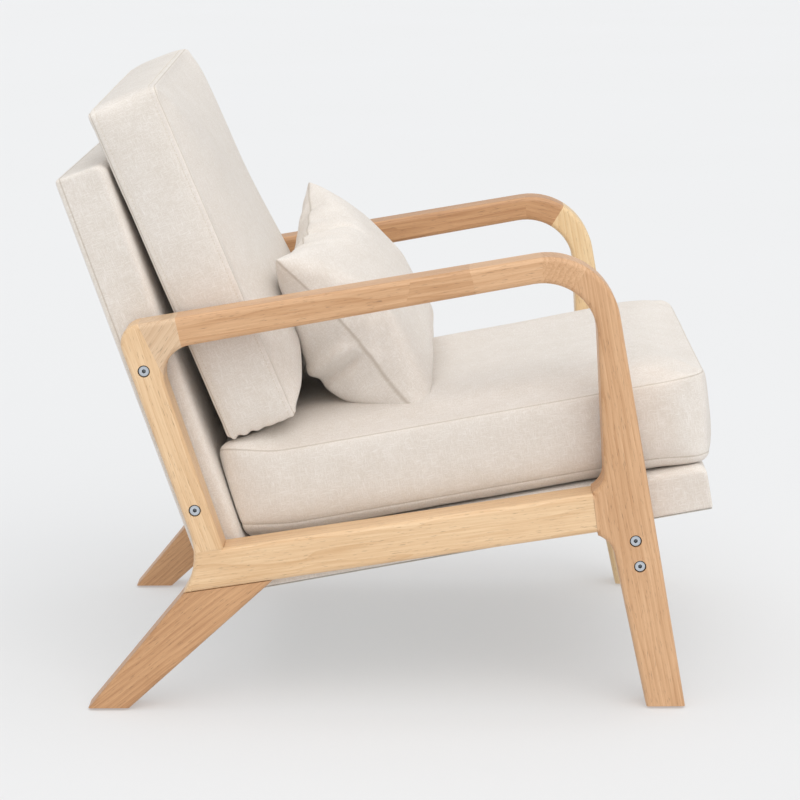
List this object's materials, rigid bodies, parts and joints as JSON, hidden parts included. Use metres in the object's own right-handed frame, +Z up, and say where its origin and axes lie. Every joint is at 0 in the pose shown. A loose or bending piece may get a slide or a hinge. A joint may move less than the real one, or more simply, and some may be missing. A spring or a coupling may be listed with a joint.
{
  "type": "wooden armchair",
  "caption": "Low lounge armchair with looped solid-wood arm frames, an upholstered sprung seat and back panel, loose box cushions and a lumbar pillow.",
  "frame": {"origin": "on the floor, at the centre of the chair's bounding box", "axes": "X runs across the chair, -Y is forward, the way the sitter faces, and +Z is up. Left and right in node names are the sitter's own: right is -X."},
  "size_m": [0.66, 0.857, 0.8121],
  "materials": {
    "frame_wood": "clear satin lacquer over light hardwood",
    "inner_wood": "plain sawn",
    "bolt_steel": "zinc plated",
    "spring_steel": "oiled wire",
    "insert_brass": "plain",
    "glide_plastic": "matte",
    "grey_felt": "felt and elastic webbing",
    "dust_cloth": "thin non-woven cloth",
    "foam": "open-cell foam",
    "zip_tape": "woven tape",
    "cream_cloth": "fine linen weave"
  },
  "bodies": {
    "frame": {"rear_leg_left": "frame_wood", "rear_leg_right": "frame_wood", "side_rail_left": "frame_wood", "side_rail_right": "frame_wood", "rear_upright_left": "frame_wood", "rear_upright_right": "frame_wood", "corner_block_left": "frame_wood", "corner_block_right": "frame_wood", "armrest_left": "frame_wood", "armrest_right": "frame_wood", "arm_bend_block_left": "frame_wood", "arm_bend_block_right": "frame_wood", "front_leg_left": "frame_wood", "front_leg_right": "frame_wood", "front_stretcher": "frame_wood", "frame_dowels": "inner_wood", "frame_bolts": "bolt_steel", "bolt_washers": "bolt_steel", "threaded_inserts": "insert_brass", "barrel_nuts": "bolt_steel", "foot_glides": "glide_plastic", "stretcher_screws": "bolt_steel", "seat_front_rail": "inner_wood", "seat_cross_rail": "inner_wood", "seat_rear_rail": "inner_wood", "seat_left_rail": "inner_wood", "seat_right_rail": "inner_wood", "seat_corner_braces": "inner_wood", "seat_springs": "spring_steel", "spring_clips": "spring_steel", "spring_pad": "grey_felt", "seat_deck_foam": "foam", "seat_base_cover": "cream_cloth", "dust_cover": "dust_cloth", "back_top_rail": "inner_wood", "back_bottom_rail": "inner_wood", "back_left_stile": "inner_wood", "back_right_stile": "inner_wood", "back_webbing": "grey_felt", "back_foam": "foam", "back_front_cover": "cream_cloth", "back_rear_cover": "cream_cloth", "link_bolts": "bolt_steel", "link_wedges": "inner_wood"},
    "seat_cushion": {"seat_cushion_top": "cream_cloth", "seat_cushion_boxing": "cream_cloth", "seat_cushion_bottom": "cream_cloth", "seat_cushion_piping": "cream_cloth", "seat_cushion_foam": "foam", "seat_cushion_zip": "zip_tape"},
    "back_cushion": {"back_cushion_front": "cream_cloth", "back_cushion_boxing": "cream_cloth", "back_cushion_rear": "cream_cloth", "back_cushion_piping": "cream_cloth", "back_cushion_fill": "foam", "back_cushion_zip": "zip_tape"},
    "pillow": {"pillow_front": "cream_cloth", "pillow_back": "cream_cloth", "pillow_fill": "foam", "pillow_zip": "zip_tape"}
  },
  "joints": [
    {"name": "seat_cushion_lift", "type": "slide", "parent": "frame", "child": "seat_cushion", "axis": [0, -0.9848, 0.1736], "range_m": [0, 0.66]},
    {"name": "back_cushion_lift", "type": "slide", "parent": "frame", "child": "back_cushion", "axis": [0, 0.3746, 0.9272], "range_m": [0, 0.5]},
    {"name": "pillow_lift", "type": "slide", "parent": "frame", "child": "pillow", "axis": [0, 0, 1], "range_m": [0, 0.4]}
  ]
}
